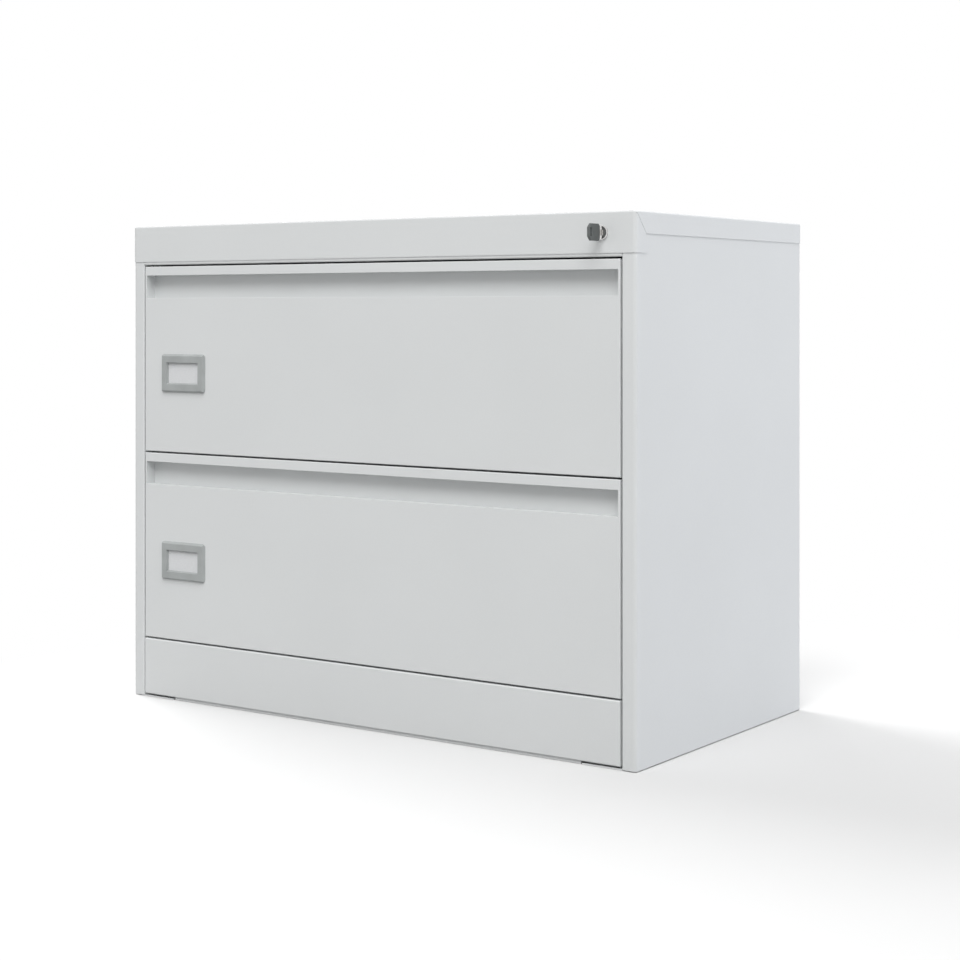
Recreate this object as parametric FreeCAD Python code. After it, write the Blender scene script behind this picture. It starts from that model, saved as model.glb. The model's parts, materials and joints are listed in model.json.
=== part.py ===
import FreeCAD, Part
import math
import os

from FreeCAD import Vector

# Two-drawer side filing cabinet in folded sheet steel. Millimetres, +Z up, front towards -Y.
# The origin is on the floor, in the middle of the box round the cabinet and its key.

# Whole cabinet, measured over the top cover
WIDTH = 885.0
DEPTH = 475.0
HEIGHT = 711.0

# Sheet metal
SHEET = 1.0
COVER_SHEET = 0.8
FOLD = 2.0
COVER_FIT = 0.15
RUN_GAP = 0.3
FACE_GAP = 2.5

# Top cover
APRON_HEIGHT = 53.2
APRON_RETURN = 25.0
SKIRT_HEIGHT = 28.5
COVER_EDGE = 2.0
COVER_REAR_CORNER = 3.0
MITRE_START = 2.0
MITRE_GAP = 0.7

# Side and back panels
STILE_WIDTH = 21.0
STILE_CORNER = 5.0
STILE_RETURN = 18.0
REAR_FLANGE = 18.0
EDGE_FLANGE = 25.0
BACK_FLANGE = 12.0
BODY_LIFT = 1.2

# Header rail, base and plinth
HEADER_SHOWN = 4.8
HEADER_FLANGE = 14.0
PLINTH_HEIGHT = 88.4
PLINTH_LIFT = 4.3
PLINTH_TOP_FLANGE = 20.0
PLINTH_RETURN = 10.0
PLINTH_HEM_BACK = 2.5
PLINTH_HEM_DROP = 3.9
BASE_TONGUE_BACK = 4.0

# Levelling feet and the brackets that carry them
BRACKET_LENGTH = 60.0
BRACKET_SHEET = 1.6
BRACKET_LIP_SET_BACK = 1.0
BRACKET_LIP_LIFT = 0.3
BRACKET_STEP_BACK = 12.5
BRACKET_PLATE_HEIGHT = 14.0
BRACKET_DEPTH = 62.0
BRACKET_FOLD = 3.0
FOOT_PAD = 30.0
FOOT_PAD_HEIGHT = 6.0
FOOT_PAD_CHAMFER = 1.5
FOOT_STUD = 8.0
NUT_ACROSS_FLATS = 13.0
NUT_HEIGHT = 6.5
FOOT_TRAVEL = 12.0
STUD_SPARE = 10.0

# Drawer fronts
FRONT_DEPTH = 20.0
FRONT_EDGE = 1.2
LIP_HEIGHT = 13.3
LIP_THICKNESS = 2.4
PULL_OPENING = 34.0
PULL_CEILING = 7.5
PULL_DEPTH = 17.5
PULL_SHELF_FALL = 1.0
PULL_EDGE = 0.3
PULL_END = 3.0

# Label holders
LABEL_WIDTH = 87.5
LABEL_HEIGHT = 57.5
LABEL_STAND = 4.3
LABEL_CORNER = 6.0
LABEL_WINDOW_WIDTH = 60.0
LABEL_WINDOW_HEIGHT = 28.7
LABEL_OUTER_BEVEL = 3.0
LABEL_INNER_BEVEL = 2.0
LABEL_FROM_EDGE = 35.6
LABEL_BELOW_TOP = 160.2
CARD_BORDER = 3.0
CARD_THICKNESS = 0.4
CARD_POCKET = 0.8

# Drawer boxes
REAR_ROOM = 31.1
BOX_RISE = 10.0
BOX_TOP_GAP = 27.3
BOX_FLANGE = 12.0
BACK_DROP = 41.0
RAIL_THICKNESS = 3.0
RAIL_HEIGHT = 12.0
RAIL_FROM_FRONT = 16.0
RAIL_FROM_BACK = 19.0
RAIL_FIT = 0.1

# Drawer slides
SLIDE_SET_BACK = 32.0
SLIDE_TAIL = 8.0
SLIDE_RISE = 70.0
SLIDE_WIDTH = 12.7
SLIDE_HEIGHT = 46.0
SLIDE_SHEET = 1.2
SLIDE_LAYER_GAP = 0.4
SLIDE_LIP = 1.4
OUTER_REACH = 9.6
OUTER_BALL = 4.0
OUTER_BALL_REACH = 5.6
INNER_BALL = 3.6
INNER_BALL_REACH = 7.5
BALL_GAP = 0.2
BALL_HOLE_GAP = 0.15
CAGE_SHEET = 0.6
CAGE_EDGE = 0.7
CAGE_END = 10.0
BALLS_IN_ROW = 4
SCREW_SHANK = 4.0
SCREW_HEAD = 7.0
SCREW_LENGTH = 10.0
SCREW_FIT = 0.1
RIVET_SHANK = 4.0
RIVET_HEAD = 7.0
RIVET_HEAD_HEIGHT = 1.4
RIVETS_IN_SLIDE = 3

# Uprights
UPRIGHT_WIDTH = 30.0
UPRIGHT_SET_BACK = 34.0
UPRIGHT_TOP_GAP = 12.0

# Lock
LOCK_FROM_SIDE = 50.0
LOCK_BELOW_TOP = 27.0
BEZEL_DIAMETER = 18.5
BEZEL_STAND = 3.0
BEZEL_CHAMFER = 0.8
BARREL_DIAMETER = 16.0
BARREL_REACH = 17.0
PLUG_DIAMETER = 12.0
PLUG_GAP = 0.1
PLUG_SET_IN = 0.3
PLUG_TAIL = 1.5
LOCK_NUT_FLATS = 22.0
LOCK_NUT_HEIGHT = 4.0
LOCK_HOLE_GAP = 0.15
CAM_SHEET = 2.0
CAM_WIDTH = 9.0
CAM_DIP = 45.0
CAM_PIN = 4.0
CAM_PIN_LENGTH = 8.5
CAM_SCREW_HEAD = 7.0
CAM_SCREW_HEAD_HEIGHT = 2.0
CAM_SCREW_SHANK = 3.0
CAM_SCREW_LENGTH = 4.0

# Key
KEY_REACH = 34.0
BOW_LENGTH = 27.0
BOW_HEIGHT = 22.0
BOW_THICKNESS = 3.2
BOW_CHAMFER = 5.0
BOW_NECK = 3.0
BOW_EDGE = 0.5
BOW_SLOT_WIDTH = 3.5
BOW_SLOT_HEIGHT = 11.0
BOW_SLOT_FROM_END = 3.5
BLADE_HEIGHT = 7.0
BLADE_THICKNESS = 2.0
BLADE_IN_BOW = 9.0
BLADE_IN_PLUG = 14.0
KEYWAY_GAP = 0.25

# Lock bar and anti-tilt bar
BAR_WIDTH = 12.0
BAR_THICKNESS = 3.0
BAR_FROM_OPENING = 4.0
BAR_SET_BACK = 25.0
BAR_LIFT = 12.0
BAR_FOOT_RISE = 70.0
FINGER_REACH = 13.0
FINGER_HEIGHT = 14.0
CATCH_DROP = 62.0
CATCH_HEIGHT = 14.0
CATCH_SHEET = 1.5
CATCH_LENGTH = 20.0
CATCH_GAP = 1.0
FINGER_GAP = 2.0
YOKE_EDGE = 5.0
YOKE_SLOT_GAP = 0.5
GUIDE_WALL = 2.0
GUIDE_HEIGHT = 16.0

# Planes worked out from the sizes above
COVER_BACK_Y = (DEPTH + KEY_REACH) / 2
COVER_FRONT_Y = COVER_BACK_Y - DEPTH
COVER_SKIN = COVER_SHEET + COVER_FIT
FACE_Y = COVER_FRONT_Y + COVER_SKIN
REAR_Y = COVER_BACK_Y - COVER_SKIN
SIDE_X = WIDTH / 2 - COVER_SKIN
INNER_SIDE_X = SIDE_X - SHEET
INNER_REAR_Y = REAR_Y - 2 * SHEET
OPENING_X = SIDE_X - STILE_WIDTH
FRONT_X = OPENING_X - FACE_GAP
ROOF_Z = HEIGHT - COVER_SHEET
SIDE_TOP_Z = HEIGHT - COVER_EDGE
OPENING_TOP_Z = HEIGHT - APRON_HEIGHT - HEADER_SHOWN
FRONT_HEIGHT = (OPENING_TOP_Z - PLINTH_HEIGHT - 3 * FACE_GAP) / 2
DRAWER_Z = {
    "upper": OPENING_TOP_Z - FACE_GAP - FRONT_HEIGHT,
    "lower": PLINTH_HEIGHT + FACE_GAP,
}
BASE_TOP_Z = PLINTH_HEIGHT - SHEET
BOX_FRONT_Y = FACE_Y + FRONT_DEPTH
BOX_BACK_Y = INNER_REAR_Y - REAR_ROOM
BOX_X = OPENING_X - SLIDE_WIDTH
BOX_TOP = FRONT_HEIGHT - BOX_TOP_GAP
SLIDE_Y = FACE_Y + SLIDE_SET_BACK
SLIDE_LENGTH = BOX_BACK_Y - SLIDE_TAIL - SLIDE_Y
LOCK_X = SIDE_X - LOCK_FROM_SIDE
LOCK_Z = HEIGHT - LOCK_BELOW_TOP
PLUG_BACK_Y = FACE_Y + BARREL_REACH + PLUG_TAIL
CAM_BACK_Y = PLUG_BACK_Y + CAM_SHEET
CAM_RADIUS = BAR_LIFT / 2 / math.sin(math.radians(CAM_DIP))
BAR_X = OPENING_X + BAR_FROM_OPENING
BAR_Y = FACE_Y + BAR_SET_BACK
CATCH_RISE = BOX_TOP - CATCH_DROP
CATCH_Y = BAR_Y + BAR_THICKNESS + CATCH_GAP
FOOT_X = OPENING_X - BRACKET_LENGTH / 2
FOOT_Y = FACE_Y + (BRACKET_STEP_BACK + BRACKET_DEPTH) / 2

# Layers of a slide, counted inwards from its mounting face
OUTER_CAGE_U = SLIDE_SHEET + SLIDE_LAYER_GAP
MIDDLE_U = OUTER_CAGE_U + CAGE_SHEET + SLIDE_LAYER_GAP
INNER_CAGE_U = MIDDLE_U + SLIDE_SHEET + SLIDE_LAYER_GAP
INNER_U = INNER_CAGE_U + CAGE_SHEET + SLIDE_LAYER_GAP
MIDDLE_REACH = SLIDE_WIDTH - SLIDE_SHEET - SLIDE_LAYER_GAP
OUTER_HALF = SLIDE_HEIGHT / 2
OUTER_BALL_RISE = OUTER_HALF - SLIDE_SHEET - BALL_GAP - OUTER_BALL / 2
MIDDLE_HALF = OUTER_BALL_RISE - OUTER_BALL / 2 - BALL_GAP
INNER_BALL_RISE = MIDDLE_HALF - SLIDE_SHEET - BALL_GAP - INNER_BALL / 2
INNER_HALF = INNER_BALL_RISE - INNER_BALL / 2 - BALL_GAP

ALONG_X = Vector(1, 0, 0)
ALONG_Y = Vector(0, 1, 0)
ALONG_Z = Vector(0, 0, 1)
ORIGIN = Vector(0, 0, 0)


def box(x0, x1, y0, y1, z0, z1):
    return Part.makeBox(x1 - x0, y1 - y0, z1 - z0, Vector(x0, y0, z0))


def rod(diameter, y0, y1, x, z):
    return Part.makeCylinder(diameter / 2, y1 - y0, Vector(x, y0, z), ALONG_Y)


def post(diameter, z0, z1, x, y):
    return Part.makeCylinder(diameter / 2, z1 - z0, Vector(x, y, z0), ALONG_Z)


def joined(pieces):
    solid = pieces[0].fuse(pieces[1:])
    return solid.removeSplitter()


def other_side(shape):
    return shape.mirror(ORIGIN, ALONG_X)


def both_sides(shape):
    return [shape, other_side(shape)]


def other_end(shape):
    middle = (FACE_Y + INNER_REAR_Y) / 2
    return shape.mirror(Vector(0, middle, 0), ALONG_Y)


def prism(corners, sweep):
    wire = Part.makePolygon(corners + corners[:1])
    return Part.Face(wire).extrude(sweep)


def hexagon(across_flats, place, sweep):
    radius = across_flats / math.sqrt(3)
    corners = []
    for step in range(6):
        turn = math.radians(60 * step)
        corners.append(place(radius * math.cos(turn), radius * math.sin(turn)))
    return prism(corners, sweep)


def right_of(direction):
    return Vector(direction.y, -direction.x, 0)


def folded(points, sheet, folds, place, sweep):
    """Sheet folded along points on one face, lying to their right. folds are the outer radii."""
    corners = [Vector(u, v, 0) for u, v in points]
    runs = []
    for start, end in zip(corners, corners[1:]):
        runs.append((end - start).normalize())
    face_point = corners[0]
    back_point = corners[0] + right_of(runs[0]) * sheet
    edges = [line(face_point, back_point, place)]
    for corner, before, after, fold in zip(corners[1:], runs, runs[1:], folds):
        turns_right = before.x * after.y - before.y * after.x < 0
        face_radius = fold if turns_right else fold - sheet
        back_radius = fold - sheet if turns_right else fold
        side = 1 if turns_right else -1
        reach = face_radius * math.tan(before.getAngle(after) / 2)
        face_in = corner - before * reach
        face_out = corner + after * reach
        centre = face_in + right_of(before) * side * face_radius
        half_way = (face_in + face_out - centre * 2).normalize()
        back_in = face_in + right_of(before) * sheet
        back_out = face_out + right_of(after) * sheet
        edges.append(line(face_point, face_in, place))
        edges.append(line(back_point, back_in, place))
        edges.append(arc(face_in, centre + half_way * face_radius, face_out, place))
        edges.append(arc(back_in, centre + half_way * back_radius, back_out, place))
        face_point = face_out
        back_point = back_out
    face_end = corners[-1]
    back_end = corners[-1] + right_of(runs[-1]) * sheet
    edges.append(line(face_point, face_end, place))
    edges.append(line(back_point, back_end, place))
    edges.append(line(face_end, back_end, place))
    wire = Part.Wire(Part.sortEdges(edges)[0])
    return Part.Face(wire).extrude(sweep)


def line(start, end, place):
    return Part.LineSegment(place(start.x, start.y), place(end.x, end.y)).toShape()


def arc(start, middle, end, place):
    points = [place(point.x, point.y) for point in (start, middle, end)]
    return Part.Arc(*points).toShape()


def plan(z):
    return lambda x, y: Vector(x, y, z)


def section(x):
    return lambda y, z: Vector(x, y, z)


def save(name, *solids):
    shape = solids[0] if len(solids) == 1 else Part.makeCompound(solids)
    shape.exportStep("parts/" + name + ".step")


# Carcase

def side_panel():
    points = [
        (SIDE_X - REAR_FLANGE, REAR_Y),
        (SIDE_X, REAR_Y),
        (SIDE_X, FACE_Y),
        (OPENING_X, FACE_Y),
        (OPENING_X, FACE_Y + STILE_RETURN),
    ]
    sweep = ALONG_Z * (SIDE_TOP_Z - BODY_LIFT)
    pieces = [folded(points, SHEET, [FOLD, STILE_CORNER, FOLD], plan(BODY_LIFT), sweep)]
    flange_start = FACE_Y + BRACKET_DEPTH + FACE_GAP
    flange_end = INNER_REAR_Y - BRACKET_DEPTH - FACE_GAP
    for z in (BODY_LIFT, SIDE_TOP_Z - SHEET):
        flange = box(SIDE_X - EDGE_FLANGE, INNER_SIDE_X, flange_start, flange_end, z, z + SHEET)
        pieces.append(flange)
    return joined(pieces)


def back_panel():
    back = REAR_Y - SHEET
    points = [
        (-INNER_SIDE_X, back - BACK_FLANGE),
        (-INNER_SIDE_X, back),
        (INNER_SIDE_X, back),
        (INNER_SIDE_X, back - BACK_FLANGE),
    ]
    sweep = ALONG_Z * (ROOF_Z - BODY_LIFT)
    return folded(points, SHEET, [FOLD, FOLD], plan(BODY_LIFT), sweep)


def rounded_cap(inset, front_corner, rear_corner, edge):
    """Block of the cover's outline, drawn in by inset, with rounded corners and top edges."""
    half = WIDTH / 2 - inset
    front = COVER_FRONT_Y + inset
    back = COVER_BACK_Y - inset
    top = HEIGHT - inset
    block = box(-half, half, front, back, HEIGHT - APRON_HEIGHT, top)
    for y, radius in ((front, front_corner), (back, rear_corner)):
        uprights = []
        for each in block.Edges:
            bounds = each.BoundBox
            if bounds.ZLength > APRON_HEIGHT / 2 and abs(bounds.Center.y - y) < radius / 2:
                uprights.append(each)
        block = block.makeFillet(radius, uprights)
    rim = [each for each in block.Edges if each.BoundBox.ZMin > top - edge / 2]
    return block.makeFillet(edge, rim)


def top_cover():
    front_corner = STILE_CORNER + COVER_SKIN
    outside = rounded_cap(0, front_corner, COVER_REAR_CORNER, COVER_EDGE)
    inside = rounded_cap(
        COVER_SHEET,
        front_corner - COVER_SHEET,
        COVER_REAR_CORNER - COVER_SHEET,
        COVER_EDGE - COVER_SHEET,
    )
    skirt_z = HEIGHT - SKIRT_HEIGHT
    return_y = COVER_FRONT_Y + APRON_RETURN
    below_skirt = box(-WIDTH, WIDTH, return_y, COVER_BACK_Y + SHEET, 0, skirt_z)
    cover = outside.cut(inside).cut(below_skirt)
    seam_top = HEIGHT - COVER_EDGE
    start_y = COVER_FRONT_Y + MITRE_START
    within = WIDTH / 2 - front_corner
    corners = [
        Vector(within, start_y - MITRE_GAP / 2, seam_top),
        Vector(within, start_y + MITRE_GAP / 2, seam_top),
        Vector(within, return_y + MITRE_GAP / 2, skirt_z),
        Vector(within, return_y - MITRE_GAP / 2, skirt_z),
    ]
    seam = prism(corners, ALONG_X * (WIDTH / 2))
    cover = cover.cut(both_sides(seam))
    return cover.cut(lock_hole())


def lock_hole():
    diameter = BARREL_DIAMETER + 2 * LOCK_HOLE_GAP
    return rod(diameter, COVER_FRONT_Y - SHEET, FACE_Y + HEADER_FLANGE, LOCK_X, LOCK_Z)


def header_rail():
    points = [
        (FACE_Y + HEADER_FLANGE, OPENING_TOP_Z),
        (FACE_Y, OPENING_TOP_Z),
        (FACE_Y, ROOF_Z),
        (FACE_Y + HEADER_FLANGE, ROOF_Z),
    ]
    rail = folded(points, SHEET, [FOLD, FOLD], section(-OPENING_X), ALONG_X * 2 * OPENING_X)
    return rail.cut(lock_hole())


def base_panel():
    top = BASE_TOP_Z
    behind_stiles = FACE_Y + STILE_RETURN + FACE_GAP
    floor = box(-INNER_SIDE_X, INNER_SIDE_X, behind_stiles, INNER_REAR_Y - BACK_FLANGE, top - SHEET, top)
    tongue = box(-FRONT_X, FRONT_X, FACE_Y + BASE_TONGUE_BACK, behind_stiles, top - SHEET, top)
    return joined([floor, tongue])


def plinth_panel():
    points = [
        (FACE_Y + PLINTH_HEM_BACK, PLINTH_LIFT),
        (FACE_Y, PLINTH_LIFT),
        (FACE_Y, PLINTH_HEIGHT),
        (FACE_Y + PLINTH_TOP_FLANGE, PLINTH_HEIGHT),
    ]
    face = folded(points, SHEET, [FOLD, FOLD], section(-FRONT_X), ALONG_X * 2 * FRONT_X)
    hem_x = OPENING_X - BRACKET_LENGTH - FACE_GAP
    hem_y = FACE_Y + PLINTH_HEM_BACK
    hem_z = PLINTH_LIFT - PLINTH_HEM_DROP
    hem = box(-hem_x, hem_x, hem_y, hem_y + SHEET, hem_z, PLINTH_LIFT + SHEET)
    end = box(
        FRONT_X - SHEET, FRONT_X, FACE_Y + SHEET, FACE_Y + PLINTH_RETURN,
        PLINTH_LIFT + FOLD, PLINTH_HEIGHT - FOLD,
    )
    return joined([face, hem] + both_sides(end))


def foot_bracket(outer_x):
    points = [
        (FACE_Y + BRACKET_LIP_SET_BACK, BRACKET_LIP_LIFT + BRACKET_SHEET),
        (FACE_Y + BRACKET_STEP_BACK, BRACKET_LIP_LIFT + BRACKET_SHEET),
        (FACE_Y + BRACKET_STEP_BACK, BRACKET_PLATE_HEIGHT),
        (FACE_Y + BRACKET_DEPTH, BRACKET_PLATE_HEIGHT),
    ]
    inner_x = OPENING_X - BRACKET_LENGTH
    sweep = ALONG_X * (outer_x - inner_x)
    plate = folded(points, BRACKET_SHEET, [BRACKET_FOLD, BRACKET_FOLD], section(inner_x), sweep)
    hole = post(FOOT_STUD + 2 * RUN_GAP, 0, BRACKET_PLATE_HEIGHT + SHEET, FOOT_X, FOOT_Y)
    return plate.cut(hole)


def leveller_nut():
    place = lambda u, v: Vector(FOOT_X + u, FOOT_Y + v, BRACKET_PLATE_HEIGHT)
    nut = hexagon(NUT_ACROSS_FLATS, place, ALONG_Z * NUT_HEIGHT)
    top = BRACKET_PLATE_HEIGHT + NUT_HEIGHT + SHEET
    return nut.cut(post(FOOT_STUD + 2 * RUN_GAP, 0, top, FOOT_X, FOOT_Y))


def foot():
    pad = post(FOOT_PAD, 0, FOOT_PAD_HEIGHT, FOOT_X, FOOT_Y)
    rim = [each for each in pad.Edges if each.BoundBox.ZMin > FOOT_PAD_HEIGHT / 2]
    pad = pad.makeChamfer(FOOT_PAD_CHAMFER, rim)
    stud_top = BRACKET_PLATE_HEIGHT + NUT_HEIGHT + FOOT_TRAVEL + STUD_SPARE
    stud = post(FOOT_STUD, 0, stud_top, FOOT_X, FOOT_Y)
    return joined([pad, stud])


def slide_upright():
    front = FACE_Y + UPRIGHT_SET_BACK
    points = [
        (INNER_SIDE_X, front),
        (OPENING_X, front),
        (OPENING_X, front + UPRIGHT_WIDTH),
        (INNER_SIDE_X, front + UPRIGHT_WIDTH),
    ]
    sweep = ALONG_Z * (ROOF_Z - UPRIGHT_TOP_GAP - BASE_TOP_Z)
    return folded(points, SHEET, [FOLD, FOLD], plan(BASE_TOP_Z), sweep)


def rear_upright_shift():
    return SLIDE_LENGTH + SLIDE_SET_BACK - UPRIGHT_SET_BACK - UPRIGHT_WIDTH


def slide_screw(z, y):
    """Countersunk screw through the fixed slide member into the upright."""
    head = Part.makeCone(
        SCREW_HEAD / 2, SCREW_SHANK / 2, SLIDE_SHEET, Vector(OPENING_X - SLIDE_SHEET, y, z), ALONG_X
    )
    shank = Part.makeCylinder(SCREW_SHANK / 2, SCREW_LENGTH, Vector(OPENING_X, y, z), ALONG_X)
    return joined([head, shank])


def screw_room(z, y):
    """Hole that clears a slide screw all round."""
    head = Part.makeCone(
        SCREW_HEAD / 2 + SCREW_FIT, SCREW_SHANK / 2 + SCREW_FIT, SLIDE_SHEET,
        Vector(OPENING_X - SLIDE_SHEET, y, z), ALONG_X,
    )
    radius = SCREW_SHANK / 2 + SCREW_FIT
    shank = Part.makeCylinder(radius, SCREW_LENGTH, Vector(OPENING_X, y, z), ALONG_X)
    return joined([head, shank])


def screw_places():
    """Height and depth of every slide screw on one side."""
    front = FACE_Y + UPRIGHT_SET_BACK + UPRIGHT_WIDTH / 2
    places = []
    for floor in DRAWER_Z.values():
        for y in (front, front + rear_upright_shift()):
            places.append((floor + SLIDE_RISE, y))
    return places


# Drawer slides, drawn on the right-hand side

def slide_block(u0, u1, y0, y1, z0, z1):
    return box(OPENING_X - u1, OPENING_X - u0, y0, y1, z0, z1)


def channel(web, tips, half, sheet, ends, middle_z):
    """Channel along Y whose web stands at depth web and whose flanges run to depth tips."""
    side = 1 if tips > web else -1
    near, far = sorted((web, web + side * sheet))
    pieces = [slide_block(near, far, *ends, middle_z - half, middle_z + half)]
    start, tip = sorted((web, tips))
    for z in (middle_z - half, middle_z + half - sheet):
        pieces.append(slide_block(start, tip, *ends, z, z + sheet))
    return joined(pieces)


def slide_ends():
    return (SLIDE_Y, SLIDE_Y + SLIDE_LENGTH)


def outer_slide(middle_z):
    pieces = [channel(0, OUTER_REACH, OUTER_HALF, SLIDE_SHEET, slide_ends(), middle_z)]
    lip = SLIDE_SHEET + SLIDE_LIP
    for z in (middle_z - OUTER_HALF, middle_z + OUTER_HALF - lip):
        pieces.append(slide_block(OUTER_REACH - SLIDE_SHEET, OUTER_REACH, *slide_ends(), z, z + lip))
    slide = joined(pieces)
    return slide.cut([screw_room(z, y) for z, y in screw_places()])


def middle_slide(middle_z):
    return channel(MIDDLE_U, MIDDLE_REACH, MIDDLE_HALF, SLIDE_SHEET, slide_ends(), middle_z)


def inner_slide(middle_z):
    slide = channel(SLIDE_WIDTH, INNER_U, INNER_HALF, SLIDE_SHEET, slide_ends(), middle_z)
    return slide.cut([rivet_hole(y, middle_z) for y in rivet_places()])


def cage_ends():
    """A cage is as long as the two members still overlap at full reach, less room at each end."""
    overlap = SLIDE_LENGTH / 2
    start = SLIDE_Y + SLIDE_LENGTH / 4 + CAGE_END
    return (start, start + overlap - 2 * CAGE_END)


def ball_places():
    start, end = cage_ends()
    step = (end - start) / BALLS_IN_ROW
    return [start + step * (index + 0.5) for index in range(BALLS_IN_ROW)]


def ball_cage(web, ball, reach, rise, middle_z):
    """Cage strip with its two rows of balls, each ball loose in its hole."""
    tips = reach + ball / 2 + BALL_HOLE_GAP + CAGE_EDGE
    half = rise + CAGE_SHEET / 2
    cage = channel(web, tips, half, CAGE_SHEET, cage_ends(), middle_z)
    balls = []
    holes = []
    x = OPENING_X - reach
    for y in ball_places():
        hole = post(ball + 2 * BALL_HOLE_GAP, middle_z - half - ball, middle_z + half + ball, x, y)
        holes.append(hole)
        for z in (middle_z - rise, middle_z + rise):
            balls.append(Part.makeSphere(ball / 2, Vector(x, y, z)))
    return [cage.cut(holes)] + balls


def rivet_places():
    step = SLIDE_LENGTH / RIVETS_IN_SLIDE
    return [SLIDE_Y + step * (index + 0.5) for index in range(RIVETS_IN_SLIDE)]


def rivet_hole(y, z):
    length = 2 * (SLIDE_SHEET + SHEET)
    start = Vector(BOX_X - length / 2, y, z)
    return Part.makeCylinder(RIVET_SHANK / 2 + SCREW_FIT, length, start, ALONG_X)


def slide_rivet(y, z):
    """Rivet through the inner slide member and the drawer side, with a low head at each end."""
    inside = BOX_X - SHEET
    outside = BOX_X + SLIDE_SHEET
    shank = Part.makeCylinder(RIVET_SHANK / 2, outside - inside, Vector(inside, y, z), ALONG_X)
    pieces = [shank]
    for start, away in ((inside, -ALONG_X), (outside, ALONG_X)):
        head = Part.makeCone(RIVET_HEAD / 2, RIVET_SHANK / 2, RIVET_HEAD_HEIGHT, Vector(start, y, z), away)
        pieces.append(head)
    return joined(pieces)


# Drawer

def rounding(corner, before, after, radius):
    """Start, middle and end of the arc that rounds a corner between two directions."""
    half_turn = before.getAngle(after) / 2
    reach = radius * math.tan(half_turn)
    inwards = (after - before).normalize()
    middle = corner + inwards * (radius / math.cos(half_turn) - radius)
    return (corner - before * reach, middle, corner + after * reach)


def pull_place(top_z, half):
    """Places depths behind the face and drops below the top in the pull's end plane."""
    return lambda depth, drop: Vector(-half, FACE_Y + depth, top_z - drop)


def pull_wall(top_z):
    """Solid block that is left as a wall of sheet once the pull is hollowed."""
    half = FRONT_X - PULL_END + SHEET
    place = pull_place(top_z, half)
    foot = LIP_HEIGHT + PULL_OPENING
    corners = [
        place(0, PULL_CEILING - SHEET),
        place(PULL_DEPTH + SHEET, PULL_CEILING - SHEET),
        place(PULL_DEPTH + SHEET, foot + PULL_SHELF_FALL + SHEET),
        place(0, foot + SHEET),
    ]
    return prism(corners, ALONG_X * 2 * half)


def pull_hollow(top_z):
    """Room for the fingers, opening through the face with a rounded edge above and below."""
    half = FRONT_X - PULL_END
    place = pull_place(top_z, half)
    inwards = Vector(1, 0, 0)
    down = Vector(0, 1, 0)
    lip = Vector(0, LIP_HEIGHT, 0)
    foot = Vector(0, LIP_HEIGHT + PULL_OPENING, 0)
    shelf = Vector(PULL_DEPTH, foot.y + PULL_SHELF_FALL, 0)
    lip_arc = rounding(lip, down, inwards, PULL_EDGE)
    foot_arc = rounding(foot, (foot - shelf).normalize(), down, PULL_EDGE)
    path = [
        lip_arc[2],
        Vector(LIP_THICKNESS, LIP_HEIGHT, 0),
        Vector(LIP_THICKNESS, PULL_CEILING, 0),
        Vector(PULL_DEPTH, PULL_CEILING, 0),
        shelf,
        foot_arc[0],
    ]
    outside = [
        foot_arc[2],
        foot_arc[2] - inwards * SHEET,
        lip_arc[0] - inwards * SHEET,
        lip_arc[0],
    ]
    edges = [arc(*lip_arc, place), arc(*foot_arc, place)]
    for points in (path, outside):
        for start, end in zip(points, points[1:]):
            edges.append(line(start, end, place))
    wire = Part.Wire(Part.sortEdges(edges)[0])
    return Part.Face(wire).extrude(ALONG_X * 2 * half)


def drawer_front(floor):
    top = floor + FRONT_HEIGHT
    back = FACE_Y + FRONT_DEPTH
    block = box(-FRONT_X, FRONT_X, FACE_Y, back, floor, top)
    rim = [each for each in block.Edges if each.BoundBox.YMax < FACE_Y + SHEET / 2]
    block = block.makeFillet(FRONT_EDGE, rim)
    half = FRONT_X - SHEET
    room = box(-half, half, FACE_Y + SHEET, back + SHEET, floor + SHEET, top - SHEET)
    skin = block.cut(room)
    return joined([skin, pull_wall(top)]).cut(pull_hollow(top))


def drawer_liner(floor):
    half = FRONT_X - SHEET
    back = FACE_Y + FRONT_DEPTH
    return box(-half, half, back - SHEET, back, floor + SHEET, floor + FRONT_HEIGHT - SHEET)


def rail_places():
    return (BOX_FRONT_Y + RAIL_FROM_FRONT, BOX_BACK_Y - RAIL_FROM_BACK)


def drawer_side(floor):
    points = [
        (BOX_X, BOX_BACK_Y),
        (BOX_X, BOX_FRONT_Y),
        (BOX_X - BOX_FLANGE, BOX_FRONT_Y),
    ]
    sweep = ALONG_Z * (BOX_TOP - BOX_RISE)
    wall = folded(points, SHEET, [FOLD], plan(floor + BOX_RISE), sweep)
    cuts = [rivet_hole(y, floor + SLIDE_RISE) for y in rivet_places()]
    for y in rail_places():
        low = floor + BOX_TOP - RAIL_HEIGHT
        notch = box(0, SIDE_X, y - RAIL_FIT, y + RAIL_THICKNESS + RAIL_FIT, low, low + 2 * RAIL_HEIGHT)
        cuts.append(notch)
    return wall.cut(cuts)


def drawer_back(floor):
    inner = BOX_X - SHEET
    points = [
        (-inner, BOX_BACK_Y - BOX_FLANGE),
        (-inner, BOX_BACK_Y),
        (inner, BOX_BACK_Y),
        (inner, BOX_BACK_Y - BOX_FLANGE),
    ]
    rise = BOX_RISE + SHEET
    sweep = ALONG_Z * (BOX_TOP - BACK_DROP - rise)
    return folded(points, SHEET, [FOLD, FOLD], plan(floor + rise), sweep)


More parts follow.
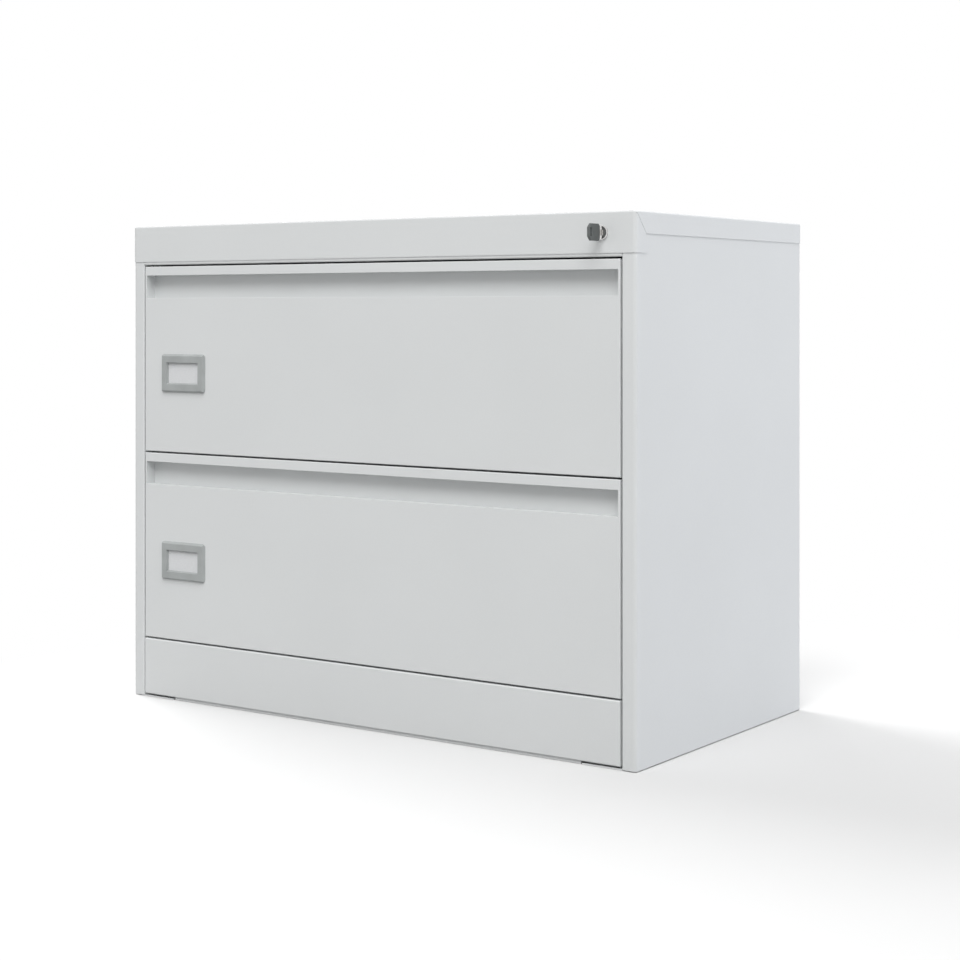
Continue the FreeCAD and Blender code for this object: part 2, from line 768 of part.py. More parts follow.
def drawer_tray(floor):
    inner = BOX_X - SHEET
    low = floor + BOX_RISE
    front = BOX_FRONT_Y + FOLD
    plate = box(-inner, inner, front, BOX_BACK_Y, low, low + SHEET)
    lip = box(-inner + FOLD, inner - FOLD, front, front + SHEET, low, low + BOX_FLANGE)
    edge_end = BOX_BACK_Y - BOX_FLANGE - FACE_GAP
    edge = box(inner - SHEET, inner, front + FOLD, edge_end, low, low + BOX_FLANGE)
    return joined([plate, lip] + both_sides(edge))


def file_rail(floor, y):
    low = floor + BOX_TOP - RAIL_HEIGHT
    return box(-BOX_X, BOX_X, y, y + RAIL_THICKNESS, low, low + RAIL_HEIGHT)


def bevelled_block(half_x, half_z, bevel, y_wide, y_narrow, x, z):
    """Block along Y whose end at y_narrow is smaller all round by bevel."""
    wide = rectangle(half_x, half_z, x, y_wide, z)
    narrow = rectangle(half_x - bevel, half_z - bevel, x, y_narrow, z)
    return Part.makeLoft([wide, narrow], True, True)


def rectangle(half_x, half_z, x, y, z):
    corners = []
    for side, rise in ((-1, -1), (1, -1), (1, 1), (-1, 1), (-1, -1)):
        corners.append(Vector(x + side * half_x, y, z + rise * half_z))
    return Part.makePolygon(corners)


def label_place(floor):
    x = -FRONT_X + LABEL_FROM_EDGE + LABEL_WIDTH / 2
    return (x, floor + FRONT_HEIGHT - LABEL_BELOW_TOP)


def label_frame(floor):
    x, z = label_place(floor)
    bevel = LABEL_OUTER_BEVEL
    front = FACE_Y - LABEL_STAND
    half_x = LABEL_WIDTH / 2
    half_z = LABEL_HEIGHT / 2
    frame = bevelled_block(half_x, half_z, bevel, FACE_Y, front, x, z)
    block = box(x - half_x, x + half_x, front, FACE_Y, z - half_z, z + half_z)
    uprights = [each for each in block.Edges if each.BoundBox.YLength > LABEL_STAND / 2]
    frame = frame.common(block.makeFillet(LABEL_CORNER, uprights))
    half_x = LABEL_WINDOW_WIDTH / 2
    half_z = LABEL_WINDOW_HEIGHT / 2
    inner = LABEL_INNER_BEVEL
    window = bevelled_block(half_x + inner, half_z + inner, inner, front, FACE_Y, x, z)
    pocket = box(
        x - half_x - CARD_BORDER, x + half_x + CARD_BORDER, FACE_Y - CARD_POCKET, FACE_Y,
        z - half_z - CARD_BORDER, z + half_z + CARD_BORDER,
    )
    return frame.cut([window, pocket])


def label_card(floor):
    x, z = label_place(floor)
    half_x = LABEL_WINDOW_WIDTH / 2 + CARD_BORDER
    half_z = LABEL_WINDOW_HEIGHT / 2 + CARD_BORDER
    return box(x - half_x, x + half_x, FACE_Y - CARD_THICKNESS, FACE_Y, z - half_z, z + half_z)


def drawer_catch(floor):
    """Angle on the drawer side whose tab a bar's finger can stand in front of."""
    low = floor + CATCH_RISE
    high = low + CATCH_HEIGHT
    foot = box(BOX_X, BOX_X + CATCH_SHEET, CATCH_Y, CATCH_Y + CATCH_LENGTH, low, high)
    tab = box(BOX_X, FRONT_X, CATCH_Y, CATCH_Y + CATCH_SHEET, low, high)
    return joined([foot, tab])


# Lock

def lock_body():
    bezel = rod(BEZEL_DIAMETER, COVER_FRONT_Y - BEZEL_STAND, COVER_FRONT_Y, LOCK_X, LOCK_Z)
    rim = [each for each in bezel.Edges if each.BoundBox.YMax < COVER_FRONT_Y - BEZEL_STAND / 2]
    bezel = bezel.makeChamfer(BEZEL_CHAMFER, rim)
    barrel = rod(BARREL_DIAMETER, COVER_FRONT_Y, FACE_Y + BARREL_REACH, LOCK_X, LOCK_Z)
    bore = rod(PLUG_DIAMETER + 2 * PLUG_GAP, COVER_FRONT_Y - KEY_REACH, PLUG_BACK_Y, LOCK_X, LOCK_Z)
    return joined([bezel, barrel]).cut(bore)


def lock_nut():
    front = FACE_Y + SHEET
    place = lambda u, v: Vector(LOCK_X + u, front, LOCK_Z + v)
    nut = hexagon(LOCK_NUT_FLATS, place, ALONG_Y * LOCK_NUT_HEIGHT)
    return nut.cut(lock_hole())


def plug_front_y():
    return COVER_FRONT_Y - BEZEL_STAND + PLUG_SET_IN


def lock_plug():
    plug = rod(PLUG_DIAMETER, plug_front_y(), PLUG_BACK_Y, LOCK_X, LOCK_Z)
    half_x = BLADE_THICKNESS / 2 + KEYWAY_GAP
    half_z = BLADE_HEIGHT / 2 + KEYWAY_GAP
    end = plug_front_y() + BLADE_IN_PLUG + KEYWAY_GAP
    start = COVER_FRONT_Y - KEY_REACH
    keyway = box(LOCK_X - half_x, LOCK_X + half_x, start, end, LOCK_Z - half_z, LOCK_Z + half_z)
    return plug.cut([keyway, cam_screw_hole()])


def cam_screw_hole():
    diameter = CAM_SCREW_SHANK + 2 * SCREW_FIT
    return rod(diameter, PLUG_BACK_Y - CAM_SCREW_LENGTH - SCREW_FIT, CAM_BACK_Y, LOCK_X, LOCK_Z)


def cam_pin_place():
    """The pin rests low, left of the plug, and rises as the plug turns clockwise."""
    dip = math.radians(CAM_DIP)
    return (LOCK_X - CAM_RADIUS * math.cos(dip), LOCK_Z - CAM_RADIUS * math.sin(dip))


def lock_cam():
    pin_x, pin_z = cam_pin_place()
    half = CAM_WIDTH / 2
    hub = rod(CAM_WIDTH, PLUG_BACK_Y, CAM_BACK_Y, LOCK_X, LOCK_Z)
    tip = rod(CAM_WIDTH, PLUG_BACK_Y, CAM_BACK_Y, pin_x, pin_z)
    arm = box(LOCK_X - CAM_RADIUS, LOCK_X, PLUG_BACK_Y, CAM_BACK_Y, LOCK_Z - half, LOCK_Z + half)
    arm.rotate(Vector(LOCK_X, 0, LOCK_Z), ALONG_Y, -CAM_DIP)
    pin = rod(CAM_PIN, PLUG_BACK_Y, CAM_BACK_Y + CAM_PIN_LENGTH, pin_x, pin_z)
    return joined([hub, tip, arm, pin]).cut(cam_screw_hole())


def cam_screw():
    head = rod(CAM_SCREW_HEAD, CAM_BACK_Y, CAM_BACK_Y + CAM_SCREW_HEAD_HEIGHT, LOCK_X, LOCK_Z)
    shank = rod(CAM_SCREW_SHANK, PLUG_BACK_Y - CAM_SCREW_LENGTH, CAM_BACK_Y, LOCK_X, LOCK_Z)
    return joined([head, shank])


def bow_outline():
    """Side view of the key's bow: chamfered outer corners and sloping shoulders at the blade."""
    outer = COVER_FRONT_Y - KEY_REACH
    inner = outer + BOW_LENGTH
    half = BOW_HEIGHT / 2
    return [
        (outer, half - BOW_CHAMFER),
        (outer + BOW_CHAMFER, half),
        (inner - BOW_NECK, half),
        (inner, half - BOW_NECK),
        (inner, BOW_NECK - half),
        (inner - BOW_NECK, -half),
        (outer + BOW_CHAMFER, -half),
        (outer, BOW_CHAMFER - half),
    ]


def key_bow():
    start = LOCK_X - BOW_THICKNESS / 2
    corners = [Vector(start, y, LOCK_Z + z) for y, z in bow_outline()]
    bow = prism(corners, ALONG_X * BOW_THICKNESS)
    flat_edges = [each for each in bow.Edges if each.BoundBox.XLength < BOW_EDGE]
    bow = bow.makeChamfer(BOW_EDGE, flat_edges)
    slot_y = COVER_FRONT_Y - KEY_REACH + BOW_SLOT_FROM_END
    half = BOW_SLOT_HEIGHT / 2
    near_x = LOCK_X - BOW_THICKNESS
    far_x = LOCK_X + BOW_THICKNESS
    slot = box(near_x, far_x, slot_y, slot_y + BOW_SLOT_WIDTH, LOCK_Z - half, LOCK_Z + half)
    return bow.cut([slot, key_blade()])


def key_blade():
    start = COVER_FRONT_Y - KEY_REACH + BOW_LENGTH - BLADE_IN_BOW
    end = plug_front_y() + BLADE_IN_PLUG
    half_x = BLADE_THICKNESS / 2
    half_z = BLADE_HEIGHT / 2
    return box(LOCK_X - half_x, LOCK_X + half_x, start, end, LOCK_Z - half_z, LOCK_Z + half_z)


# Lock bar and anti-tilt bar

def finger_top(floor):
    return floor + CATCH_RISE - FINGER_GAP


def plain_bar(high):
    """Flat upright bar up to a height, with a finger welded on below each drawer's catch."""
    low = DRAWER_Z["lower"] + BAR_FOOT_RISE
    back = BAR_Y + BAR_THICKNESS
    pieces = [box(BAR_X, BAR_X + BAR_WIDTH, BAR_Y, back, low, high)]
    for floor in DRAWER_Z.values():
        top = finger_top(floor)
        pieces.append(box(BAR_X - FINGER_REACH, BAR_X, BAR_Y, back, top - FINGER_HEIGHT, top))
    return pieces


def lock_bar():
    """The plain bar carried up to a welded yoke, whose level slot takes the cam's pin."""
    pin_x, pin_z = cam_pin_place()
    far_x = LOCK_X - CAM_RADIUS
    half = CAM_PIN / 2 + YOKE_SLOT_GAP
    back = BAR_Y + BAR_THICKNESS
    low = pin_z - half - YOKE_EDGE
    high = pin_z + half + YOKE_EDGE
    yoke = box(far_x - half - YOKE_EDGE, BAR_X, BAR_Y, back, low, high)
    slot = box(far_x - half, pin_x + half, BAR_Y - SHEET, back + SHEET, pin_z - half, pin_z + half)
    return plain_bar(high) + [yoke.cut(slot)]


def bar_guide(middle_z):
    low = middle_z - GUIDE_HEIGHT / 2
    high = middle_z + GUIDE_HEIGHT / 2
    wall = GUIDE_WALL + RUN_GAP
    back = BAR_Y + BAR_THICKNESS
    block = box(BAR_X - wall, INNER_SIDE_X, BAR_Y - wall, back + wall, low, high)
    near_x = BAR_X - RUN_GAP
    far_x = BAR_X + BAR_WIDTH + RUN_GAP
    room = box(near_x, far_x, BAR_Y - RUN_GAP, back + RUN_GAP, low - SHEET, high + SHEET)
    return block.cut(room)


def guide_places():
    bottom = DRAWER_Z["lower"] + BAR_FOOT_RISE + GUIDE_HEIGHT
    return (bottom, DRAWER_Z["upper"] + BAR_FOOT_RISE + GUIDE_HEIGHT)


# Writing the pieces

def save_carcase():
    side = side_panel()
    save("side_panel_right", side)
    save("side_panel_left", other_side(side))
    save("back_panel", back_panel())
    save("top_cover", top_cover())
    save("header_rail", header_rail())
    save("base_panel", base_panel())
    save("plinth_panel", plinth_panel())
    front_bracket = foot_bracket(OPENING_X)
    rear_bracket = other_end(foot_bracket(INNER_SIDE_X - SHEET))
    save("foot_brackets", *both_sides(front_bracket), *both_sides(rear_bracket))
    nut = leveller_nut()
    save("leveller_nuts", *both_sides(nut), *both_sides(other_end(nut)))
    front = slide_upright()
    rear = front.translated(ALONG_Y * rear_upright_shift())
    holes = [screw_room(z, y) for z, y in screw_places()]
    uprights = both_sides(front.cut(holes)) + both_sides(rear.cut(holes))
    save("slide_uprights", *uprights)
    screws = []
    for z, y in screw_places():
        screws += both_sides(slide_screw(z, y))
    save("slide_screws", *screws)
    guides = []
    for z in guide_places():
        guides += both_sides(bar_guide(z))
    save("bar_guides", *guides)


def save_feet():
    front = foot()
    rear = other_end(front)
    save("foot_front_right", front)
    save("foot_front_left", other_side(front))
    save("foot_rear_right", rear)
    save("foot_rear_left", other_side(rear))


def save_lock():
    save("lock_body", lock_body())
    save("lock_nut", lock_nut())
    save("lock_plug", lock_plug())
    save("lock_cam", lock_cam())
    save("cam_screw", cam_screw())
    save("key_bow", key_bow())
    save("key_blade", key_blade())
    save("lock_bar", *lock_bar())
    save("interlock_bar", *[other_side(piece) for piece in plain_bar(OPENING_TOP_Z)])


def save_slides(drawer, floor):
    middle_z = floor + SLIDE_RISE
    save(drawer + "_outer_slides", *both_sides(outer_slide(middle_z)))
    save(drawer + "_middle_slides", *both_sides(middle_slide(middle_z)))
    save(drawer + "_inner_slides", *both_sides(inner_slide(middle_z)))
    outer = ball_cage(OUTER_CAGE_U, OUTER_BALL, OUTER_BALL_REACH, OUTER_BALL_RISE, middle_z)
    inner = ball_cage(INNER_CAGE_U, INNER_BALL, INNER_BALL_REACH, INNER_BALL_RISE, middle_z)
    save(drawer + "_outer_ball_cages", *outer, *[other_side(piece) for piece in outer])
    save(drawer + "_inner_ball_cages", *inner, *[other_side(piece) for piece in inner])
    rivets = []
    for y in rivet_places():
        rivets += both_sides(slide_rivet(y, middle_z))
    save(drawer + "_slide_rivets", *rivets)


def save_drawer(drawer, floor):
    save(drawer + "_front", drawer_front(floor))
    save(drawer + "_liner", drawer_liner(floor))
    side = drawer_side(floor)
    save(drawer + "_side_right", side)
    save(drawer + "_side_left", other_side(side))
    save(drawer + "_back", drawer_back(floor))
    save(drawer + "_tray", drawer_tray(floor))
    save(drawer + "_file_rails", *[file_rail(floor, y) for y in rail_places()])
    save(drawer + "_label_frame", label_frame(floor))
    save(drawer + "_label_card", label_card(floor))
    catch = drawer_catch(floor)
    save(drawer + "_lock_catch", catch)
    save(drawer + "_interlock_catch", other_side(catch))


os.makedirs("parts", exist_ok=True)
save_carcase()
save_feet()
save_lock()
for drawer_name, drawer_floor in DRAWER_Z.items():
    save_slides(drawer_name, drawer_floor)
    save_drawer(drawer_name, drawer_floor)
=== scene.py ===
import json
import math

import bpy
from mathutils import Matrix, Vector

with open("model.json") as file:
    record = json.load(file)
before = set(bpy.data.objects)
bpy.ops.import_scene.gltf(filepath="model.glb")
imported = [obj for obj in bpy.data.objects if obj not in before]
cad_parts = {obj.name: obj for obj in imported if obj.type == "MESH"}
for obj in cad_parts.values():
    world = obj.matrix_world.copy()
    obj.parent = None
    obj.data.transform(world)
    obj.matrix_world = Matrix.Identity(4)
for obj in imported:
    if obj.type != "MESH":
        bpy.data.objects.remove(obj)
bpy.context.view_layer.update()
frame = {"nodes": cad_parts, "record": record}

# Camera, fitted to the photograph: metres, degrees, and millimetres for the lens
CAMERA_PLACE = (1.683, -2.3416, 0.585)
CAMERA_YAW = 34.93
CAMERA_LEVEL = 90.0
CAMERA_SHIFT = -0.1770
LENS = 72.765
SENSOR = 36.0

# Floor, pale near the cabinet and plain white away from it
FLOOR_HALF = 40.0
FLOOR_SEEN = 0.70
FLOOR_BOUNCE = 0.34
FLOOR_FAR_BOUNCE = 0.45
FLOOR_SHADE_PLACE = (0.42, -0.22, 0.0)
FLOOR_PLAIN_FROM = 0.75
FLOOR_PLAIN_TO = 1.25

# Light: strengths where 1 is white, metres and watts
PLAIN_WHITE = 1.0
WORLD_LOW_LIGHT = 0.504
WORLD_HIGH_LIGHT = 0.320
COOL_LIGHT = (0.88, 0.912, 1.0)
LAMP_AIM = (0.0, 0.0, 0.4)
UPPER_FRONT_LAMP = {"place": (2.9, -5.4, 8.4), "size": 7.0, "power": 1000.0}
RIGHT_LAMP = {"place": (6.2, 4.8, 2.0), "size": 3.6, "power": 262.0}
REAR_LEFT_LAMP = {"place": (-4.5, 4.5, 1.7), "size": 3.0, "power": 150.0}
FLOOR_LAMP = {"place": (-2.1, 0.6, 3.1), "size": 1.6, "power": 95.0}

# Colours, as linear red, green and blue
PAINT = (0.678, 0.693, 0.695)
ZINC = (0.47, 0.48, 0.49)
LOCK_FACE = (0.70, 0.69, 0.685)
KEY_STEEL = (0.62, 0.61, 0.59)
KEY_PLASTIC = (0.106, 0.116, 0.115)
LABEL_PLASTIC = (0.350, 0.368, 0.366)
CARD = (0.68, 0.69, 0.70)
NYLON = (0.74, 0.73, 0.69)
FOOT_PLASTIC = (0.022, 0.022, 0.023)

# Noise: the range that most of it lies in, its layers, and how far it is drawn out
NOISE_RANGE = (0.3, 0.7)
ONE_LAYER = 1.0
TWO_LAYERS = 2.0
THREE_LAYERS = 3.0
EVEN = (1.0, 1.0, 1.0)
DRAWN_OUT = 40.0
ALONG_WIDTH = (DRAWN_OUT, 1.0, 1.0)
ALONG_DEPTH = (1.0, DRAWN_OUT, 1.0)
ALONG_HEIGHT = (1.0, 1.0, DRAWN_OUT)

# Powder coat: grains in a metre, spreads of brightness and roughness, and depth in metres
COAT_ROUGHNESS = 0.46
COAT_ROUGHNESS_SPREAD = 0.05
COAT_CLOUDS = 5.0
COAT_CLOUD_SPREAD = 0.012
COAT_SPECKLE = 1500.0
COAT_SPECKLE_SPREAD = 0.015
COAT_SHEEN = 260.0
COAT_PEEL = 780.0
COAT_PEEL_DEPTH = 0.00003

# Plated metal, in the same units
METAL_CLOUDS = 55.0
METAL_CLOUD_RANGE = (0.90, 1.08)
METAL_LINE_SPREAD = 0.06
METAL_ROUGHNESS_SPREAD = 0.09
METAL_LINE_DEPTH = 0.000012
ZINC_GRAIN = 2200.0
ZINC_ROUGHNESS = 0.42
ZINC_RAIL_ROUGHNESS = 0.38
LOCK_GRAIN = 3500.0
LOCK_ROUGHNESS = 0.20
KEY_GRAIN = 3000.0
KEY_ROUGHNESS = 0.27

# Moulded plastic, in the same units
MOULDED_FLOW = 40.0
MOULDED_FLOW_SPREAD = 0.07
MOULDED_PEBBLE_SPREAD = 0.05
MOULDED_ROUGHNESS_SPREAD = 0.07
MOULDED_PEBBLE_DEPTH = 0.00004
KEY_PLASTIC_ROUGHNESS = 0.42
KEY_PLASTIC_GRAIN = 2600.0
LABEL_ROUGHNESS = 0.38
LABEL_GRAIN = 2300.0
NYLON_ROUGHNESS = 0.48
NYLON_GRAIN = 1500.0
FOOT_ROUGHNESS = 0.5
FOOT_GRAIN = 1400.0

# Card, in the same units
CARD_ROUGHNESS = 0.75
CARD_ROUGHNESS_SPREAD = 0.04
CARD_FIBRES = 900.0
CARD_FIBRE_STRETCH = (4.0, 1.0, 1.0)
CARD_FIBRE_SPREAD = 0.04
CARD_FIBRE_DEPTH = 0.00003


# Node helpers

def map_range(tree, value, source, target, interpolation="LINEAR"):
    """The value, moved from the source range to the target range."""
    node = tree.nodes.new("ShaderNodeMapRange")
    node.interpolation_type = interpolation
    for socket, number in zip(("From Min", "From Max", "To Min", "To Max"), source + target):
        node.inputs[socket].default_value = number
    tree.links.new(value, node.inputs["Value"])
    return node.outputs["Result"]


def combined(tree, operation, first, second):
    """Two values taken together by a sum, product or the like."""
    node = tree.nodes.new("ShaderNodeMath")
    node.operation = operation
    tree.links.new(first, node.inputs[0])
    tree.links.new(second, node.inputs[1])
    return node.outputs["Value"]


def mixed(tree, share, first, second):
    """The first shader where share is 0 and the second where it is 1."""
    node = tree.nodes.new("ShaderNodeMixShader")
    tree.links.new(share, node.inputs["Fac"])
    tree.links.new(first, node.inputs[1])
    tree.links.new(second, node.inputs[2])
    return node.outputs["Shader"]


# Materials

class Finish:
    """A material being built: its node tree, its surface shader and its place on the part."""

    def __init__(self, name, colour, roughness, metallic=0.0):
        self.material = bpy.data.materials.new(name)
        self.material.use_nodes = True
        self.tree = self.material.node_tree
        self.shader = self.tree.nodes["Principled BSDF"]
        self.colour = colour
        self.roughness = roughness
        self.shader.inputs["Metallic"].default_value = metallic
        self.place = self.tree.nodes.new("ShaderNodeTexCoord").outputs["Object"]

    def link(self, output, target):
        self.tree.links.new(output, target)

    def noise(self, grains, layers, stretch=EVEN):
        """Noise with about so many grains in a metre, drawn out along the large numbers of stretch."""
        mapping = self.tree.nodes.new("ShaderNodeMapping")
        mapping.inputs["Scale"].default_value = [grains / each for each in stretch]
        texture = self.tree.nodes.new("ShaderNodeTexNoise")
        texture.inputs["Scale"].default_value = 1.0
        texture.inputs["Detail"].default_value = layers
        self.link(self.place, mapping.inputs["Vector"])
        self.link(mapping.outputs["Vector"], texture.inputs["Vector"])
        return texture.outputs["Fac"]

    def around(self, value, middle, spread):
        """The noise spread evenly about a middle number."""
        return map_range(self.tree, value, NOISE_RANGE, (middle - spread, middle + spread))

    def tint(self, brightness):
        """The finish's colour, made lighter or darker by brightness, which is about 1."""
        node = self.tree.nodes.new("ShaderNodeVectorMath")
        node.operation = "SCALE"
        node.inputs[0].default_value = self.colour
        self.link(brightness, node.inputs["Scale"])
        self.link(node.outputs["Vector"], self.shader.inputs["Base Color"])

    def polish(self, value, spread):
        """The finish's roughness, spread by the noise."""
        self.link(self.around(value, self.roughness, spread), self.shader.inputs["Roughness"])

    def relief(self, height, depth):
        """Raises the surface by up to depth metres where height is 1."""
        bump = self.tree.nodes.new("ShaderNodeBump")
        bump.inputs["Strength"].default_value = 1.0
        bump.inputs["Distance"].default_value = depth
        self.link(height, bump.inputs["Height"])
        self.link(bump.outputs["Normal"], self.shader.inputs["Normal"])


def powder_coat(name, colour):
    """Satin powder coat: faint clouding, fine speckle and orange peel about a millimetre across."""
    finish = Finish(name, colour, COAT_ROUGHNESS)
    clouds = finish.around(finish.noise(COAT_CLOUDS, THREE_LAYERS), 1.0, COAT_CLOUD_SPREAD)
    speckle = finish.around(finish.noise(COAT_SPECKLE, ONE_LAYER), 1.0, COAT_SPECKLE_SPREAD)
    finish.tint(combined(finish.tree, "MULTIPLY", clouds, speckle))
    finish.polish(finish.noise(COAT_SHEEN, TWO_LAYERS), COAT_ROUGHNESS_SPREAD)
    finish.relief(finish.noise(COAT_PEEL, ONE_LAYER), COAT_PEEL_DEPTH)
    return finish.material


def drawn_metal(name, colour, roughness, along, grain):
    """Plated metal with fine draw lines along one direction and a faint cloudiness in the plating."""
    finish = Finish(name, colour, roughness, metallic=1.0)
    lines = finish.noise(grain, THREE_LAYERS, along)
    plating = finish.noise(METAL_CLOUDS, THREE_LAYERS)
    clouds = map_range(finish.tree, plating, NOISE_RANGE, METAL_CLOUD_RANGE)
    streaks = finish.around(lines, 1.0, METAL_LINE_SPREAD)
    finish.tint(combined(finish.tree, "MULTIPLY", clouds, streaks))
    finish.polish(lines, METAL_ROUGHNESS_SPREAD)
    finish.relief(lines, METAL_LINE_DEPTH)
    return finish.material


def moulded(name, colour, roughness, grain):
    """Moulded plastic with a fine pebble grain and uneven sheen."""
    finish = Finish(name, colour, roughness)
    flow = finish.around(finish.noise(MOULDED_FLOW, TWO_LAYERS), 1.0, MOULDED_FLOW_SPREAD)
    pebbles = finish.noise(grain, TWO_LAYERS)
    speckle = finish.around(pebbles, 1.0, MOULDED_PEBBLE_SPREAD)
    finish.tint(combined(finish.tree, "MULTIPLY", flow, speckle))
    finish.polish(pebbles, MOULDED_ROUGHNESS_SPREAD)
    finish.relief(pebbles, MOULDED_PEBBLE_DEPTH)
    return finish.material


def plain_card(name, colour):
    """Card with short level fibres."""
    finish = Finish(name, colour, CARD_ROUGHNESS)
    fibres = finish.noise(CARD_FIBRES, THREE_LAYERS, CARD_FIBRE_STRETCH)
    finish.tint(finish.around(fibres, 1.0, CARD_FIBRE_SPREAD))
    finish.polish(fibres, CARD_ROUGHNESS_SPREAD)
    finish.relief(fibres, CARD_FIBRE_DEPTH)
    return finish.material


def finishes():
    """One material for each slot of the record."""
    return {
        "paint": powder_coat("paint", PAINT),
        "zinc": drawn_metal("zinc", ZINC, ZINC_ROUGHNESS, ALONG_DEPTH, ZINC_GRAIN),
        "lock_metal": drawn_metal("lock_metal", LOCK_FACE, LOCK_ROUGHNESS, ALONG_DEPTH, LOCK_GRAIN),
        "key_steel": drawn_metal("key_steel", KEY_STEEL, KEY_ROUGHNESS, ALONG_DEPTH, KEY_GRAIN),
        "key_plastic": moulded("key_plastic", KEY_PLASTIC, KEY_PLASTIC_ROUGHNESS, KEY_PLASTIC_GRAIN),
        "label_plastic": moulded("label_plastic", LABEL_PLASTIC, LABEL_ROUGHNESS, LABEL_GRAIN),
        "card": plain_card("card", CARD),
        "nylon": moulded("nylon", NYLON, NYLON_ROUGHNESS, NYLON_GRAIN),
        "foot_plastic": moulded("foot_plastic", FOOT_PLASTIC, FOOT_ROUGHNESS, FOOT_GRAIN),
    }


def dress_nodes():
    """Gives every piece its slot's material, and sheet that is rolled across or upright its own grain."""
    materials = finishes()
    upright = drawn_metal("zinc_upright", ZINC, ZINC_ROUGHNESS, ALONG_HEIGHT, ZINC_GRAIN)
    across = drawn_metal("zinc_across", ZINC, ZINC_RAIL_ROUGHNESS, ALONG_WIDTH, ZINC_GRAIN)
    own_grain = {
        "slide_uprights": upright,
        "lock_bar": upright,
        "interlock_bar": upright,
        "upper_file_rails": across,
        "lower_file_rails": across,
    }
    for row in frame["record"]["subparts"]:
        node = row["node"]
        material = own_grain.get(node, materials[row["material_slot"]])
        for slot in frame["nodes"][node].material_slots:
            slot.material = material


# Stage, light and camera

def seen_ray(tree):
    """1 where the camera looks straight, or through a mirror or glass, and 0 for scattered light."""
    path = tree.nodes.new("ShaderNodeLightPath")
    seen = path.outputs["Is Camera Ray"]
    for way in ("Is Glossy Ray", "Is Transmission Ray"):
        seen = combined(tree, "MAXIMUM", seen, path.outputs[way])
    return seen


def glow(tree, kind, strength):
    """White light of a strength."""
    node = tree.nodes.new(kind)
    node.inputs["Color"].default_value = (1.0, 1.0, 1.0, 1.0)
    node.inputs["Strength"].default_value = strength
    return node


def matt(tree, level):
    """Plain matt grey."""
    node = tree.nodes.new("ShaderNodeBsdfDiffuse")
    node.inputs["Color"].default_value = (level, level, level, 1.0)
    return node.outputs["BSDF"]


def floor():
    """Pale floor that keeps the shadow, runs into plain white, and throws little light back up."""
    bpy.ops.mesh.primitive_plane_add(size=2 * FLOOR_HALF)
    plane = bpy.context.object
    plane.name = "floor"
    material = bpy.data.materials.new("floor")
    material.use_nodes = True
    tree = material.node_tree
    tree.nodes.remove(tree.nodes["Principled BSDF"])
    place = tree.nodes.new("ShaderNodeTexCoord")
    distance = tree.nodes.new("ShaderNodeVectorMath")
    distance.operation = "DISTANCE"
    distance.inputs[1].default_value = FLOOR_SHADE_PLACE
    tree.links.new(place.outputs["Object"], distance.inputs[0])
    fade = (FLOOR_PLAIN_FROM, FLOOR_PLAIN_TO)
    far = map_range(tree, distance.outputs["Value"], fade, (0.0, 1.0), "SMOOTHSTEP")
    far_bounce = glow(tree, "ShaderNodeEmission", FLOOR_FAR_BOUNCE).outputs["Emission"]
    far_white = glow(tree, "ShaderNodeEmission", PLAIN_WHITE).outputs["Emission"]
    scattered = mixed(tree, far, matt(tree, FLOOR_BOUNCE), far_bounce)
    looked_at = mixed(tree, far, matt(tree, FLOOR_SEEN), far_white)
    surface = mixed(tree, seen_ray(tree), scattered, looked_at)
    tree.links.new(surface, tree.nodes["Material Output"].inputs["Surface"])
    plane.data.materials.append(material)
    return plane


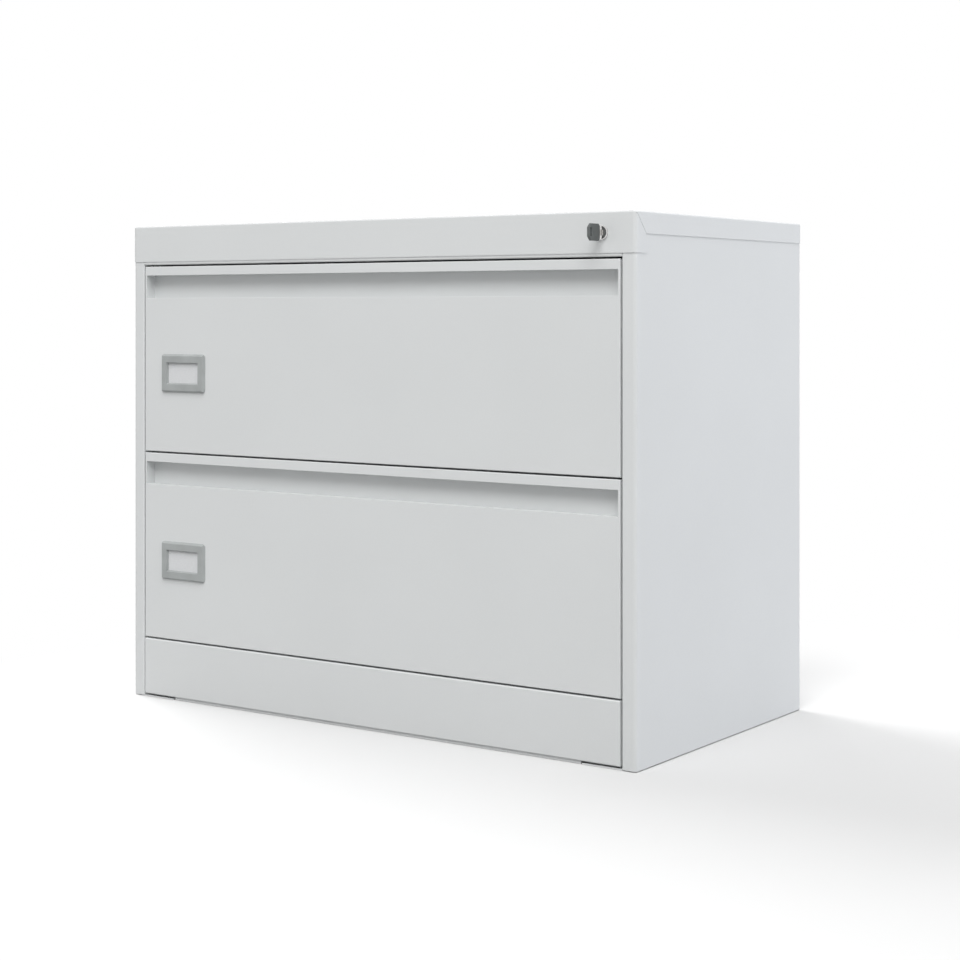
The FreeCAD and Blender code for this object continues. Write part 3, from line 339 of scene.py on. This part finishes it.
def surroundings():
    """Light all round, less of it from above, seen as plain white by the camera and in reflections."""
    world = bpy.data.worlds.new("surroundings")
    bpy.context.scene.world = world
    world.use_nodes = True
    tree = world.node_tree
    tree.nodes.remove(tree.nodes["Background"])
    place = tree.nodes.new("ShaderNodeTexCoord")
    parts = tree.nodes.new("ShaderNodeSeparateXYZ")
    tree.links.new(place.outputs["Generated"], parts.inputs["Vector"])
    strength = map_range(tree, parts.outputs["Z"], (0.0, 1.0), (WORLD_LOW_LIGHT, WORLD_HIGH_LIGHT))
    light = glow(tree, "ShaderNodeBackground", WORLD_LOW_LIGHT)
    tree.links.new(strength, light.inputs["Strength"])
    white = glow(tree, "ShaderNodeBackground", PLAIN_WHITE)
    surface = mixed(tree, seen_ray(tree), light.outputs["Background"], white.outputs["Background"])
    tree.links.new(surface, tree.nodes["World Output"].inputs["Surface"])


def lamp(name, place, size, power):
    """Square soft lamp at a place, facing the part."""
    data = bpy.data.lights.new(name, "AREA")
    data.size = size
    data.energy = power
    obj = bpy.data.objects.new(name, data)
    obj.location = place
    obj.rotation_euler = (Vector(LAMP_AIM) - Vector(place)).to_track_quat("-Z", "Y").to_euler()
    bpy.context.scene.collection.objects.link(obj)
    return obj


def link_to_floor(light, stage_floor, state):
    """Makes a lamp light the floor alone (INCLUDE) or all but the floor (EXCLUDE)."""
    group = bpy.data.collections.new(light.name + "_and_floor")
    group.objects.link(stage_floor)
    group.collection_objects[0].light_linking.link_state = state
    light.light_linking.receiver_collection = group


def lamps(stage_floor):
    """Soft lamps that gloss doesn't mirror, and one for the floor alone, for the shadow on the right."""
    upper_front = lamp("upper_front", **UPPER_FRONT_LAMP)
    right = lamp("right", **RIGHT_LAMP)
    right.data.color = COOL_LIGHT
    link_to_floor(right, stage_floor, "EXCLUDE")
    rear_left = lamp("rear_left", **REAR_LEFT_LAMP)
    for part_lamp in (upper_front, right, rear_left):
        part_lamp.visible_glossy = False
    floor_lamp = lamp("left", **FLOOR_LAMP)
    link_to_floor(floor_lamp, stage_floor, "INCLUDE")


def camera():
    """Level camera at the photograph's place, with its frame shifted down."""
    data = bpy.data.cameras.new("camera")
    data.sensor_width = SENSOR
    data.lens = LENS
    data.shift_y = CAMERA_SHIFT
    obj = bpy.data.objects.new("camera", data)
    obj.location = CAMERA_PLACE
    obj.rotation_euler = (math.radians(CAMERA_LEVEL), 0.0, math.radians(CAMERA_YAW))
    bpy.context.scene.collection.objects.link(obj)
    bpy.context.scene.camera = obj


dress_nodes()
stage_floor = floor()
surroundings()
lamps(stage_floor)
camera()
bpy.context.scene.view_settings.view_transform = "Standard"
